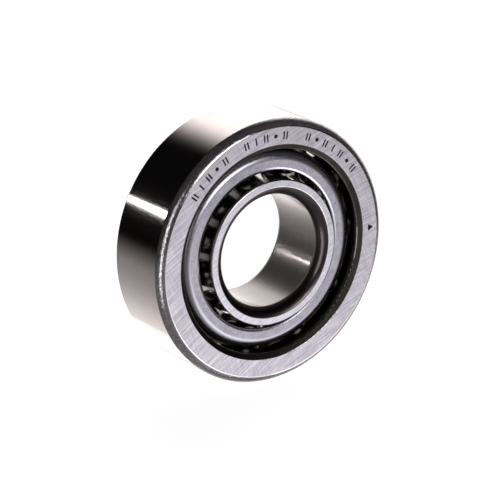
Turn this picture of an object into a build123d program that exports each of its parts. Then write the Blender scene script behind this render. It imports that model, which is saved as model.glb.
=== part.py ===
from build123d import *
import os
from math import cos, radians, sin, tan

# Single-row angular contact ball bearing, 20 x 47 x 14 mm, 40 degree contact angle.
# Frame: millimetres, +Z up. The bearing stands on its rim with its axis along Y and its origin
# at the centre of the bore, half way along the width. The marked side looks along -Y, and the
# open side, where the outer ring's bore is relieved, looks along +Y.
# Sections are drawn on Plane.XY: x is the radius, and y is the place along the bearing's axis.

# Boundary dimensions of dimension series 02 for a 20 mm bore
BORE_DIAMETER = 20.0
OUTSIDE_DIAMETER = 47.0
WIDTH = 14.0

# Ball set
CONTACT_ANGLE = 40.0
BALL_DIAMETER = 7.938
BALL_COUNT = 11
PITCH_DIAMETER = (BORE_DIAMETER + OUTSIDE_DIAMETER) / 2

# Raceways: groove radius as a part of the ball diameter, and the gap from a ball to its groove
INNER_CONFORMITY = 0.515
OUTER_CONFORMITY = 0.525
RACEWAY_GAP = 0.02

# Outer ring: high shoulder on the marked side, relieved low shoulder on the open side
OUTER_HIGH_DIAMETER = 36.4
OUTER_LOW_DIAMETER = 41.0
OUTER_RELIEF_DIAMETER = 41.8
OUTER_RELIEF_START = 2.6
OUTER_BEVEL_RADIAL = 0.95
OUTER_BEVEL_AXIAL = 0.6
OUTER_BEVEL_EDGE = 0.2
OUTER_MOUTH_CORNER = 0.35

# Inner ring: low shoulder on the marked side, high shoulder on the open side
INNER_LOW_DIAMETER = 25.9
INNER_HIGH_DIAMETER = 30.8
INNER_LOW_CORNER = 0.2
INNER_HIGH_CORNER = 0.5

# Turned corners with the face and the wall ground after them, which leaves two broken edges.
# Each has its radial size, its axial size and the radius of its crown.
OUTER_MARKED_CORNER = (1.3, 1.2, 2.0)
OUTER_OPEN_CORNER = (0.9, 0.9, 1.4)
BORE_CORNER = (1.65, 1.75, 2.4)
BROKEN_EDGE = 0.5

# Rounding of the ground edge where a raceway meets a shoulder
GROOVE_EDGE = 0.12

# Cage: pressed sheet cone with a window for each ball and an inward flange at its small end
SHEET = 0.8
CONE_HALF_ANGLE = 12.0
CONE_RADIUS_AT_BALLS = 18.55
FLANGE_PLACE = -5.2
FLANGE_INNER_DIAMETER = 28.1
FLANGE_EDGE = 0.3
CAGE_BEND = 1.9
CAGE_END_PLACE = 5.4
CAGE_END_EDGE = 0.2
POCKET_CLEARANCE = 0.13

# Engraved marks on the outer ring's marked face: single bars, double bars, dots and a triangle.
# Each group has the angle of its first mark, then its marks in clockwise order.
MARK_GROUPS = [(141.4, "=|=.="), (106.0, "=|=.="), (70.0, "=.=|=.=")]
MARK_STEP = 5.6
MARK_CIRCLE_RADIUS = 20.65
BAR_HEIGHT = 1.4
BAR_WIDTH = 0.3
BAR_SPACING = 0.62
DOT_RADIUS = 0.36
TRIANGLE_RADIUS = 0.75
TRIANGLE_ANGLE = 2.0
MARK_DEPTH = 0.06

# Worked out from the above
HALF_WIDTH = WIDTH / 2
BALL_RADIUS = BALL_DIAMETER / 2
PITCH_RADIUS = PITCH_DIAMETER / 2
NEARNESS = 0.001


def groove_centre(groove_radius, side):
    """Centre of a raceway's arc, on the contact line through the ball's centre.

    side is 1 for the outer ring, which the ball touches outwards and towards the marked side,
    and -1 for the inner ring, which it touches inwards and towards the open side.
    """
    offset = side * (groove_radius - BALL_RADIUS - RACEWAY_GAP)
    angle = radians(CONTACT_ANGLE)
    return (PITCH_RADIUS - offset * cos(angle), offset * sin(angle))


def corners_at(section, radius):
    """Corners of a section at one radius, from the marked side to the open side."""
    corners = section.vertices().filter_by(lambda v: abs(v.X - radius) < NEARNESS)
    return corners.sort_by(Axis.Y)


def crown_corner(section, radius, place, corner, outwards):
    """Cuts a crowned corner in the section that is open.

    outwards is 1 for a corner on an outside diameter and -1 for one in a bore.
    """
    radial, axial, crown = corner
    side = 1 if place > 0 else -1
    face_end = (radius - outwards * radial, place)
    wall_end = (radius, place - side * axial)
    with BuildLine() as cut:
        RadiusArc(face_end, wall_end, side * outwards * crown)
        Polyline(wall_end, (radius, place), face_end)
    make_face(cut.edges(), mode=Mode.SUBTRACT)
    for x, y in (face_end, wall_end):
        fillet(section.vertices().sort_by_distance((x, y, 0))[0], BROKEN_EDGE)


def draw_marks():
    """The marks, added to the sketch that is open."""
    for first_angle, marks in MARK_GROUPS:
        for i, mark in enumerate(marks):
            angle = first_angle - i * MARK_STEP
            with PolarLocations(MARK_CIRCLE_RADIUS, 1, start_angle=angle):
                if mark == "|":
                    SlotOverall(BAR_HEIGHT, BAR_WIDTH)
                elif mark == "=":
                    with Locations((0, BAR_SPACING / 2), (0, -BAR_SPACING / 2)):
                        SlotOverall(BAR_HEIGHT, BAR_WIDTH)
                else:
                    Circle(DOT_RADIUS)
    with PolarLocations(MARK_CIRCLE_RADIUS, 1, start_angle=TRIANGLE_ANGLE):
        RegularPolygon(TRIANGLE_RADIUS, 3)


def make_outer_ring():
    outside = OUTSIDE_DIAMETER / 2
    high = OUTER_HIGH_DIAMETER / 2
    low = OUTER_LOW_DIAMETER / 2
    mouth = OUTER_RELIEF_DIAMETER / 2
    face_edge = high + OUTER_BEVEL_RADIAL
    groove_radius = OUTER_CONFORMITY * BALL_DIAMETER
    groove = groove_centre(groove_radius, 1)
    outline = [
        (high, OUTER_BEVEL_AXIAL - HALF_WIDTH),
        (face_edge, -HALF_WIDTH),
        (outside, -HALF_WIDTH),
        (outside, HALF_WIDTH),
        (mouth, HALF_WIDTH),
        (low, OUTER_RELIEF_START),
        (low, groove[1]),
        (high, groove[1]),
    ]
    with BuildPart() as outer_ring:
        with BuildSketch(Plane.XY) as section:
            with BuildLine():
                Polyline(*outline, close=True)
            make_face()
            with Locations(groove):
                Circle(groove_radius, mode=Mode.SUBTRACT)
            crown_corner(section, outside, -HALF_WIDTH, OUTER_MARKED_CORNER, 1)
            crown_corner(section, outside, HALF_WIDTH, OUTER_OPEN_CORNER, 1)
            fillet(corners_at(section, mouth), OUTER_MOUTH_CORNER)
            fillet(corners_at(section, face_edge), OUTER_BEVEL_EDGE)
            fillet(corners_at(section, high)[0], OUTER_BEVEL_EDGE)
            fillet(corners_at(section, high)[-1], GROOVE_EDGE)
            fillet(corners_at(section, low)[0], GROOVE_EDGE)
        revolve(axis=Axis.Y)
        with BuildSketch(Plane.XZ.offset(HALF_WIDTH)):
            draw_marks()
        extrude(amount=-MARK_DEPTH, mode=Mode.SUBTRACT)
    return outer_ring


def make_inner_ring():
    bore = BORE_DIAMETER / 2
    high = INNER_HIGH_DIAMETER / 2
    low = INNER_LOW_DIAMETER / 2
    groove_radius = INNER_CONFORMITY * BALL_DIAMETER
    groove = groove_centre(groove_radius, -1)
    outline = [
        (bore, -HALF_WIDTH),
        (low, -HALF_WIDTH),
        (low, groove[1]),
        (high, groove[1]),
        (high, HALF_WIDTH),
        (bore, HALF_WIDTH),
    ]
    with BuildPart() as inner_ring:
        with BuildSketch(Plane.XY) as section:
            with BuildLine():
                Polyline(*outline, close=True)
            make_face()
            with Locations(groove):
                Circle(groove_radius, mode=Mode.SUBTRACT)
            crown_corner(section, bore, -HALF_WIDTH, BORE_CORNER, -1)
            crown_corner(section, bore, HALF_WIDTH, BORE_CORNER, -1)
            fillet(corners_at(section, low)[0], INNER_LOW_CORNER)
            fillet(corners_at(section, low)[-1], GROOVE_EDGE)
            fillet(corners_at(section, high)[0], GROOVE_EDGE)
            fillet(corners_at(section, high)[-1], INNER_HIGH_CORNER)
        revolve(axis=Axis.Y)
    return inner_ring


def make_cage():
    slope = tan(radians(CONE_HALF_ANGLE))
    flange_inner = FLANGE_INNER_DIAMETER / 2
    bend = CONE_RADIUS_AT_BALLS + FLANGE_PLACE * slope
    end = CONE_RADIUS_AT_BALLS + CAGE_END_PLACE * slope
    outside = [(flange_inner, FLANGE_PLACE), (bend, FLANGE_PLACE), (end, CAGE_END_PLACE)]
    with BuildPart(Plane.XZ) as cage:
        with BuildSketch(Plane.XY) as section:
            with BuildLine():
                FilletPolyline(*outside, radius=CAGE_BEND)
                offset(amount=SHEET, side=Side.LEFT)
            make_face()
            fillet(corners_at(section, flange_inner), FLANGE_EDGE)
            fillet(section.vertices().sort_by(Axis.Y)[-2:], CAGE_END_EDGE)
        revolve(axis=Axis.Y)
        with PolarLocations(PITCH_RADIUS, BALL_COUNT):
            Sphere(BALL_RADIUS + POCKET_CLEARANCE, mode=Mode.SUBTRACT)
    return cage


def make_ball(number):
    angle = 360 / BALL_COUNT * (number - 1)
    with BuildPart(Plane.XZ) as ball:
        with PolarLocations(PITCH_RADIUS, 1, start_angle=angle):
            Sphere(BALL_RADIUS)
    return ball


pieces = {"outer_ring": make_outer_ring(), "inner_ring": make_inner_ring(), "cage": make_cage()}
for number in range(1, BALL_COUNT + 1):
    pieces[f"ball_{number:02d}"] = make_ball(number)

os.makedirs("parts", exist_ok=True)
for label, piece in pieces.items():
    piece.part.label = label
    export_step(piece.part, f"parts/{label}.step")
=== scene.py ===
from math import cos, hypot, pi, radians, sin

import bpy
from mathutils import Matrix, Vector


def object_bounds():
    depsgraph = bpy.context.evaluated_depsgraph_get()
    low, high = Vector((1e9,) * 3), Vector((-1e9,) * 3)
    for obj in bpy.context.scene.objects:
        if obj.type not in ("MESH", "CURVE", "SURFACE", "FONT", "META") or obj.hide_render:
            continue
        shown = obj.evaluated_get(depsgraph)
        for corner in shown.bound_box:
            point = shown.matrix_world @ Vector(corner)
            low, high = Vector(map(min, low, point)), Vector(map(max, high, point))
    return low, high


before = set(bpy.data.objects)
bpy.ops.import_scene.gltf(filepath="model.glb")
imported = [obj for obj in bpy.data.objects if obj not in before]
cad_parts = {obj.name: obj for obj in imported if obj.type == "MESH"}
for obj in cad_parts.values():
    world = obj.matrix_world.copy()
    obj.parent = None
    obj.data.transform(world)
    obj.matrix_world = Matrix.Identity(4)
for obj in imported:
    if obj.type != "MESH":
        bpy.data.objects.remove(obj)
cad_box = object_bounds()

MM = 0.001
DEGREES = 180 / pi

# Places on the bearing in millimetres. Radii are from the axis, which is Y, and the others are
# along it, from the middle. The marked side looks along -Y.
HALF_WIDTH = cad_box[1].y / MM
OUTSIDE_RADIUS = cad_box[1].x / MM
MARKED_CORNER_RADIUS = 22.2
MARKED_CORNER_END = -5.8
OPEN_CORNER_RADIUS = 22.6
OPEN_CORNER_END = 6.1
MOUTH_RADIUS = 21.25
BEVEL_RADIUS = 19.15
BEVEL_END = -6.4
MARK_FLOOR = -6.94
LOW_SHOULDER_RADIUS = 12.95
BORE_CORNER_RADIUS = 11.65
BORE_CORNER_END = 5.25
BORE_RADIUS = 10.0
CAGE_BEND_RADIUS = 15.75
CAGE_EDGE_RADIUS = 14.62

# Brightness of the parts of the studio, where 1 is white paper
WALL_LEVEL = 1.75
FRONT_LEFT_TABLE = 0.18
FRONT_RIGHT_TABLE = 0.60
BACK_TABLE = 1.0
SHEET_LEVEL = 2.7
LAMP_LEVEL = 22.0
BOX_LEVEL = 4.5
WINDOW_LEVEL = 2.6
GAP_LEVEL = 0.004

FLOOR_REACH = 20.0
FLOOR_GLOW = 0.93
FLOOR_GREY = 0.5

OIL_ROUGHNESS = 0.06
STREAKS_PER_RADIAN = 2.2222

# Node graphs


class Wire:
    """A number that a node works out. Python's arithmetic on it adds Math nodes."""

    def __init__(self, graph, socket):
        self.graph = graph
        self.socket = socket

    def __add__(self, other):
        return self.graph.math("ADD", self, other)

    def __radd__(self, other):
        return self.graph.math("ADD", other, self)

    def __sub__(self, other):
        return self.graph.math("SUBTRACT", self, other)

    def __rsub__(self, other):
        return self.graph.math("SUBTRACT", other, self)

    def __mul__(self, other):
        return self.graph.math("MULTIPLY", self, other)

    def __rmul__(self, other):
        return self.graph.math("MULTIPLY", other, self)

    def __truediv__(self, other):
        return self.graph.math("DIVIDE", self, other)

    def __pow__(self, other):
        return self.graph.math("POWER", self, other)


class Graph:
    """Short names for the nodes of one material or world."""

    def __init__(self, tree):
        self.tree = tree
        tree.nodes.clear()

    def put(self, socket, value):
        if isinstance(value, Wire):
            self.tree.links.new(value.socket, socket)
        else:
            socket.default_value = value

    def node(self, kind, settings=None, **inputs):
        made = self.tree.nodes.new(kind)
        for name, value in (settings or {}).items():
            setattr(made, name, value)
        for name, value in inputs.items():
            self.put(made.inputs[name.replace("_", " ")], value)
        return made

    def math(self, operation, *values):
        made = self.node("ShaderNodeMath", {"operation": operation})
        for i, value in enumerate(values):
            self.put(made.inputs[i], value)
        return Wire(self, made.outputs[0])

    def larger(self, a, b):
        return self.math("MAXIMUM", a, b)

    def step(self, value, zero, one):
        """0 at zero and 1 at one, whichever is larger, with a smooth change between them."""
        made = self.node("ShaderNodeMapRange", {"interpolation_type": "SMOOTHSTEP"})
        self.put(made.inputs["Value"], value)
        self.put(made.inputs["From Min"], min(zero, one))
        self.put(made.inputs["From Max"], max(zero, one))
        self.put(made.inputs["To Min"], 0.0 if zero < one else 1.0)
        self.put(made.inputs["To Max"], 1.0 if zero < one else 0.0)
        return Wire(self, made.outputs["Result"])

    def band(self, value, low, high, soft):
        """1 between low and high, falling to 0 over soft outside them."""
        return self.step(value, low - soft, low) * self.step(value, high + soft, high)

    def vector(self, x, y, z):
        made = self.node("ShaderNodeCombineXYZ", X=x, Y=y, Z=z)
        return Wire(self, made.outputs[0])

    def split(self, vector):
        made = self.node("ShaderNodeSeparateXYZ", Vector=vector)
        return [Wire(self, out) for out in made.outputs]

    def noise(self, vector, detail, roughness):
        made = self.node("ShaderNodeTexNoise", Vector=vector, Scale=1.0)
        made.inputs["Detail"].default_value = detail
        made.inputs["Roughness"].default_value = roughness
        return Wire(self, made.outputs["Fac"])

    def mix(self, factor, a, b):
        """From number a to number b."""
        made = self.node("ShaderNodeMix", {"data_type": "FLOAT"})
        for socket, value in ((0, factor), (2, a), (3, b)):
            self.put(made.inputs[socket], value)
        return Wire(self, made.outputs[0])

    def tint(self, factor, a, b):
        """From colour a to colour b."""
        made = self.node("ShaderNodeMix", {"data_type": "RGBA"})
        self.put(made.inputs[0], factor)
        for socket, colour in ((6, a), (7, b)):
            self.put(made.inputs[socket], colour if isinstance(colour, Wire) else (*colour, 1.0))
        return Wire(self, made.outputs[2])

    def scaled(self, vector, amount):
        """A colour or a vector times a number."""
        made = self.node("ShaderNodeVectorMath", {"operation": "SCALE"}, Scale=amount)
        self.put(made.inputs[0], vector)
        return Wire(self, made.outputs[0])


# Studio


class Sky(Graph):
    """The world's graph, with the direction that is looked at, in degrees.

    azimuth is 0 in front, at -Y, and 90 on the right, and it goes from -180 to 180. turn is the
    same from 0 to 360. rise is up from level.
    """

    def __init__(self, tree):
        super().__init__(tree)
        place = self.node("ShaderNodeTexCoord")
        x, y, z = self.split(Wire(self, place.outputs["Generated"]))
        self.azimuth = self.math("ARCTAN2", x, -1.0 * y) * DEGREES
        self.turn = self.math("FLOORED_MODULO", self.azimuth + 360.0, 360.0)
        self.rise = self.math("ARCSINE", z) * DEGREES

    def wall(self):
        """A white wall and curtain behind and to the right, dim at its foot on the right."""
        width = self.step(self.turn, 88.0, 117.0) * self.step(self.turn, 190.0, 158.0) ** 2.0
        height = self.step(self.rise, 68.0, 54.0) * self.step(self.rise, -74.0, -60.0)
        foot = self.step(self.rise, 0.0, -14.0) * self.step(self.turn, 160.0, 145.0)
        return width * height * self.mix(foot, 1.0, 0.32) * WALL_LEVEL

    def table(self):
        """The table: bright behind, dimmer in front and to the left, and dark right below."""
        front = self.step(self.azimuth, -25.0, 35.0)
        level = self.mix(front, FRONT_LEFT_TABLE, FRONT_RIGHT_TABLE)
        behind = self.step(self.turn, 142.0, 162.0) * self.step(self.turn, 225.0, 175.0)
        level = level + behind * BACK_TABLE
        on_right = self.step(self.turn, 40.0, 90.0) * self.step(self.turn, 120.0, 100.0)
        edge = self.mix(on_right, -4.0, -14.0)
        level = level * self.step(self.rise - edge, 0.0, -16.0)
        low_right = self.step(self.rise, -50.0, -62.0) * self.band(self.turn, 60.0, 120.0, 20.0)
        level = self.mix(low_right, level, 0.06)
        return self.mix(self.step(self.rise, -62.0, -74.0), level, 0.24)

    def sheet(self):
        """A sheet of white paper on the table in front, brightest at its near edge."""
        width = self.step(self.azimuth, 0.0, 24.0) * self.step(self.azimuth, 80.0, 20.0)
        depth = self.step(self.rise, -49.0, -33.0) * self.step(self.rise, -7.0, -31.0)
        return width * depth * SHEET_LEVEL

    def lamp(self):
        """A small lamp behind on the left."""
        width = self.band(self.turn, 215.0, 220.4, 0.8)
        return width * self.band(self.rise, 12.2, 14.2, 0.6) * LAMP_LEVEL

    def box(self):
        """A soft box in front."""
        width = self.band(self.azimuth, 3.0, 24.0, 4.0)
        return width * self.band(self.rise, 2.0, 18.0, 4.0) * BOX_LEVEL

    def window(self):
        """A narrow leaning window beside the camera."""
        width = self.band(self.azimuth - self.rise * 0.28, -50.0, -38.0, 3.0)
        return width * self.band(self.rise, -30.0, 20.0, 6.0) * WINDOW_LEVEL


def make_world():
    """Soft light from all round, drawn by direction, on a white background."""
    world = bpy.data.worlds.new("studio")
    world.use_nodes = True
    bpy.context.scene.world = world
    g = Sky(world.node_tree)
    light = g.larger(g.larger(g.wall(), g.table()), g.sheet())
    light = light + g.lamp() + g.box() + g.window() + GAP_LEVEL
    back = g.step(g.math("ABSOLUTE", g.azimuth), 60.0, 130.0)
    colour = g.tint(back, (0.95, 0.93, 1.0), (1.0, 0.935, 0.925))
    colour = g.scaled(colour, light)
    seen = g.node("ShaderNodeLightPath").outputs["Is Camera Ray"]
    colour = g.tint(Wire(g, seen), colour, (1.0, 1.0, 1.0))
    shader = g.node("ShaderNodeBackground", Color=colour, Strength=1.0)
    out = g.node("ShaderNodeOutputWorld")
    g.tree.links.new(shader.outputs[0], out.inputs["Surface"])


def make_floor():
    """A plain pale floor under the bearing, which neither mirrors it nor is lit by it."""
    corners = [
        (-FLOOR_REACH, -FLOOR_REACH, 0),
        (FLOOR_REACH, -FLOOR_REACH, 0),
        (FLOOR_REACH, FLOOR_REACH, 0),
        (-FLOOR_REACH, FLOOR_REACH, 0),
    ]
    mesh = bpy.data.meshes.new("floor")
    mesh.from_pydata(corners, [], [(0, 1, 2, 3)])
    floor = bpy.data.objects.new("floor", mesh)
    floor.location = (0, 0, cad_box[0].z)
    bpy.context.scene.collection.objects.link(floor)
    floor.visible_glossy = False
    floor.visible_diffuse = False
    floor.visible_shadow = False
    material = bpy.data.materials.new("floor_paper")
    material.use_nodes = True
    g = Graph(material.node_tree)
    glow = g.node("ShaderNodeEmission", Color=(1.0, 1.0, 1.0, 1.0), Strength=FLOOR_GLOW)
    paper = g.node("ShaderNodeBsdfDiffuse", Color=(FLOOR_GREY, FLOOR_GREY, FLOOR_GREY, 1.0))
    both = g.node("ShaderNodeAddShader")
    g.tree.links.new(glow.outputs[0], both.inputs[0])
    g.tree.links.new(paper.outputs[0], both.inputs[1])
    out = g.node("ShaderNodeOutputMaterial")
    g.tree.links.new(both.outputs[0], out.inputs["Surface"])
    mesh.materials.append(material)


def make_camera():
    """The camera stands in front and to the left, a little above the bearing, with a long lens."""
    azimuth = radians(-35.272)
    elevation = radians(18.833)
    distance = 423.54 * MM
    aim_right = -0.088 * MM
    aim_up = -1.331 * MM
    low, high = cad_box
    back = Vector(
        (sin(azimuth) * cos(elevation), -cos(azimuth) * cos(elevation), sin(elevation))
    )
    right = Vector((cos(azimuth), sin(azimuth), 0.0))
    up = back.cross(right)
    data = bpy.data.cameras.new("camera")
    data.lens = 176.34
    data.sensor_width = 36.0
    data.clip_start = 0.01
    data.clip_end = 50.0
    camera = bpy.data.objects.new("camera", data)
    camera.location = (low + high) / 2 + back * distance + right * aim_right + up * aim_up
    camera.rotation_mode = "QUATERNION"
    camera.rotation_quaternion = (-back).to_track_quat("-Z", "Y")
    bpy.context.scene.collection.objects.link(camera)
    bpy.context.scene.camera = camera


# Materials


class Steel(Graph):
    """A steel's graph, with the place on the bearing in millimetres, the radius and the angle."""

    def __init__(self, name):
        self.material = bpy.data.materials.new(name)
        self.material.use_nodes = True
        super().__init__(self.material.node_tree)
        place = self.node("ShaderNodeTexCoord")
        self.place = self.scaled(Wire(self, place.outputs["Object"]), 1 / MM)
        self.x, self.y, self.z = self.split(self.place)
        self.across = self.math("ABSOLUTE", self.y)
        self.radius = self.math("SQRT", self.x * self.x + self.z * self.z)
        self.angle = self.math("ARCTAN2", self.z, self.x)
        self.on_face = self.step(self.across, HALF_WIDTH - 0.010, HALF_WIDTH - 0.004)

    def finish(self, colour, roughness, height, metallic=1.0, oil=0.0):
        """Puts the shader together. height is in millimetres, and oil is the weight of a thin film."""
        bump = self.node("ShaderNodeBump", Strength=1.0, Distance=MM, Height=height)
        shader = self.node("ShaderNodeBsdfPrincipled", Base_Color=colour, Roughness=roughness)
        self.put(shader.inputs["Metallic"], metallic)
        shader.inputs["Coat Weight"].default_value = oil
        shader.inputs["Coat Roughness"].default_value = OIL_ROUGHNESS
        for normal in ("Normal", "Coat Normal"):
            self.tree.links.new(bump.outputs[0], shader.inputs[normal])
        out = self.node("ShaderNodeOutputMaterial")
        self.tree.links.new(shader.outputs[0], out.inputs["Surface"])
        return self.material

    def layered(self, value, *layers):
        """A number with others laid over it, each with the mask that shows it."""
        for mask, other in layers:
            value = self.mix(mask, value, other)
        return value

    def arcs(self, centre_x, centre_z, width, length):
        """Scratches in arcs about a far centre, as a grinding wheel leaves them, from -0.5 to 0.5."""
        right = self.x - centre_x
        up = self.z - centre_z
        reach = self.math("SQRT", right * right + up * up)
        along = self.math("ARCTAN2", up, right) * hypot(centre_x, centre_z)
        return self.noise(self.vector(reach / width, along / length, 0.0), 2.0, 0.55) - 0.5

    def scratches(self):
        """The crossing scratches of a surface-ground face, around 0."""
        first = self.arcs(55.0, -118.0, 0.30, 9.0)
        second = self.arcs(-140.0, -60.0, 0.30, 6.0)
        fine = self.arcs(55.0, -118.0, 0.12, 4.0)
        return first * 0.9 + second * 0.4 + fine * 0.8

    def rings(self, width, seed):
        """Fine grinding lines round a wall, from -0.5 to 0.5."""
        bow = self.math("SINE", self.angle + seed) * 2.0
        streaks = self.angle * STREAKS_PER_RADIAN
        return self.noise(self.vector(self.y / width, streaks, bow), 3.0, 0.6) - 0.5

    def grain(self, width, detail=3.0):
        """Blotches of about one width, from 0 to 1."""
        return self.noise(self.scaled(self.place, 1 / width), detail, 0.6)


def outer_ring_steel():
    g = Steel("outer_ring_steel")
    in_mark = g.step(g.y, MARK_FLOOR - 0.05, MARK_FLOOR - 0.02)
    in_mark = in_mark * g.step(g.y, MARK_FLOOR + 0.02, MARK_FLOOR + 0.005)
    in_mark = in_mark * g.step(g.radius, 19.2, 19.3) * g.step(g.radius, 22.1, 22.0)
    on_wall = g.step(g.radius, OUTSIDE_RADIUS - 0.06, OUTSIDE_RADIUS - 0.03)

    # the turned corners, and the bright line where the marked one meets its face: the small rounding
    # there is real, and the brighter tone on it is a painted highlight
    start = g.mix(g.step(g.y, -1.0, 1.0), MARKED_CORNER_RADIUS, OPEN_CORNER_RADIUS)
    marked_corner = g.step(g.y, MARKED_CORNER_END + 0.04, MARKED_CORNER_END - 0.10)
    open_corner = g.step(g.y, OPEN_CORNER_END - 0.04, OPEN_CORNER_END + 0.10)
    corner = g.step(g.radius - start, 0.10, 0.20) * g.larger(marked_corner, open_corner)
    edge = g.band(g.radius, MARKED_CORNER_RADIUS - 0.06, MARKED_CORNER_RADIUS + 0.16, 0.04)
    edge = edge * g.step(g.y, -HALF_WIDTH + 0.002, -HALF_WIDTH + 0.006)

    # the inside, with a painted shade that makes it darker on the marked side, and on the high
    # shoulder from the marked face: bevel, a lip whose bright tone is a painted highlight, and a land
    # painted dark as shade
    raceway = g.step(g.radius, MOUTH_RADIUS + 0.10, MOUTH_RADIUS) * (1.0 - g.on_face)
    raceway = raceway * g.step(g.y, MARK_FLOOR + 0.01, MARK_FLOOR + 0.06)
    bore = g.step(g.radius, BEVEL_RADIUS - 0.03, BEVEL_RADIUS - 0.10)
    inside = g.larger(bore, raceway)
    bevel = bore * g.step(g.y, BEVEL_END + 0.10, BEVEL_END + 0.02)
    lip_highlight = bore * g.band(g.y, BEVEL_END - 0.06, BEVEL_END + 0.06, 0.04)
    shaded_land = bore * g.step(g.y, BEVEL_END + 0.02, BEVEL_END + 0.10) * g.step(g.y, -3.2, -3.7)

    lines = g.scratches()
    blotch = g.grain(2.2) - 0.5
    spark = g.grain(0.30, 2.0) - 0.5
    spark_fine = g.grain(0.12, 1.0) - 0.5
    glitter = g.step(g.grain(0.20, 2.0), 0.46, 0.60)
    rings = g.rings(0.22, 0.0)
    rings_fine = g.rings(0.05, 1.0)

    tone = g.layered(
        0.60,
        (g.on_face, 0.57 + lines * 0.75),
        (corner, 0.34 + glitter * 0.42),
        # the edge's bright tone is a painted highlight
        (edge, 0.95),
        # the inside darker on the marked side and the dark land are painted shade, and the lip's
        # bright tone is a painted highlight
        (inside, g.mix(g.step(g.y, 1.0, 3.0), 0.28, 0.45)),
        (bevel, 0.12 + blotch * 0.08),
        (shaded_land, 0.08),
        (lip_highlight, 0.55),
    )
    tone = g.mix(in_mark, tone * (1.0 + blotch * 0.12), 0.03)
    colour = g.tint(g.on_face, (1.0, 0.955, 0.935), (0.985, 0.955, 1.0))
    colour = g.tint(inside, colour, (1.0, 0.88, 0.74))
    colour = g.scaled(colour, tone)

    roughness = g.layered(
        0.09,
        (g.on_face, 0.33),
        (corner, 0.13),
        (edge, 0.10),
        (inside, 0.24),
        (bevel, 0.32),
        (lip_highlight, 0.16),
        (in_mark, 0.60),
    )
    height = g.on_face * lines * 0.006
    height = height + on_wall * (rings * 0.0003 + rings_fine * 0.0004)
    height = height + corner * (spark * 0.036 + spark_fine * 0.008)
    return g.finish(colour, roughness, height, metallic=g.mix(corner, 1.0, 0.82))


def inner_ring_steel():
    g = Steel("inner_ring_steel")
    wall = g.step(g.radius, BORE_RADIUS + 0.06, BORE_RADIUS + 0.03)
    corner = g.step(g.radius, BORE_RADIUS + 0.03, BORE_RADIUS + 0.10)
    corner = corner * g.step(g.radius, BORE_CORNER_RADIUS + 0.01, BORE_CORNER_RADIUS - 0.07)
    corner = corner * g.step(g.across, BORE_CORNER_END - 0.25, BORE_CORNER_END - 0.05)
    outside = g.step(g.radius, LOW_SHOULDER_RADIUS - 0.10, LOW_SHOULDER_RADIUS - 0.05)
    outside = outside * (1.0 - g.on_face)
    far = g.step(g.y, -2.5, 4.0)

    lines = g.scratches()
    rings = g.rings(0.18, 2.0)
    blotch = g.grain(1.8) - 0.5
    spark = g.grain(0.16, 2.0) - 0.5

    tone = g.layered(
        0.60,
        (g.on_face, 0.66 + lines * 0.55),
        (corner, 0.095 + spark * 0.10),
        (wall, 0.38 + rings * 0.20),
        (outside, 0.30),
    )
    roughness = g.layered(0.16, (g.on_face, 0.30), (corner, 0.32), (wall, 0.34))
    colour = g.tint(g.on_face, (1.0, 0.94, 0.89), (0.975, 0.95, 1.0))
    colour = g.tint(corner, colour, (1.0, 0.84, 0.78))
    colour = g.scaled(colour, tone * (1.0 + blotch * 0.15))
    height = g.on_face * lines * 0.005
    height = height + wall * (rings * 0.004 + spark * (0.003 + far * 0.010))
    height = height + corner * spark * 0.006
    return g.finish(colour, roughness, height, metallic=g.mix(wall, 1.0, 0.55), oil=0.8)


def cage_steel():
    g = Steel("cage_steel")
    outer_side = g.step(g.y, -4.3, -4.9)
    bend = g.step(g.radius, CAGE_BEND_RADIUS, CAGE_BEND_RADIUS + 0.50) * outer_side
    inner_edge = g.step(g.radius, CAGE_EDGE_RADIUS + 0.04, CAGE_EDGE_RADIUS - 0.02) * outer_side
    shiny = g.larger(bend, inner_edge)
    roll = g.math("MINIMUM", g.radius - CAGE_EDGE_RADIUS, 0.0) * outer_side

    blotch = g.grain(0.9) - 0.5
    cloud = g.grain(3.2) - 0.5
    fine = g.grain(0.14) - 0.5
    speck = g.step(g.grain(0.22, 1.0), 0.63, 0.70)

    flange = 0.48 + cloud * 0.30 + blotch * 0.36 + fine * 0.50 - speck * 0.20
    # the inner edge's brighter tone is a painted highlight on the rolled rim, which the roll bump
    # shapes
    flange = g.layered(flange, (bend, 0.49), (inner_edge, 0.74))
    # the cage behind the flange's front is painted dark as shade, darkest towards the marked side
    shaded_cone = g.mix(g.step(g.y, -1.0, 3.0), 0.06, 0.34)
    colour = g.scaled((0.95, 0.94, 1.0), g.mix(outer_side, shaded_cone, flange))
    roughness = g.layered(0.38 + blotch * 0.15, (bend, 0.27), (inner_edge, 0.20))
    height = (fine * 0.004 + blotch * 0.012 + cloud * 0.02) * (1.0 - shiny * 0.6) + roll * 0.22
    return g.finish(colour, roughness, height)


def ball_steel():
    g = Steel("ball_steel")
    haze = g.grain(0.8) - 0.5
    colour = g.scaled((1.0, 0.985, 0.97), 0.42 + haze * 0.05)
    return g.finish(colour, 0.06 + haze * 0.03, haze * 0.0002)


def give(node, material):
    """Shows a CAD node in one material."""
    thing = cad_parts[node]
    for slot in thing.material_slots:
        slot.material = material


make_world()
make_floor()
make_camera()
give("outer_ring", outer_ring_steel())
give("inner_ring", inner_ring_steel())
give("cage", cage_steel())
balls = ball_steel()
for name in sorted(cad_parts):
    if name.startswith("ball_"):
        give(name, balls)

scene = bpy.context.scene
scene.view_settings.view_transform = "Standard"
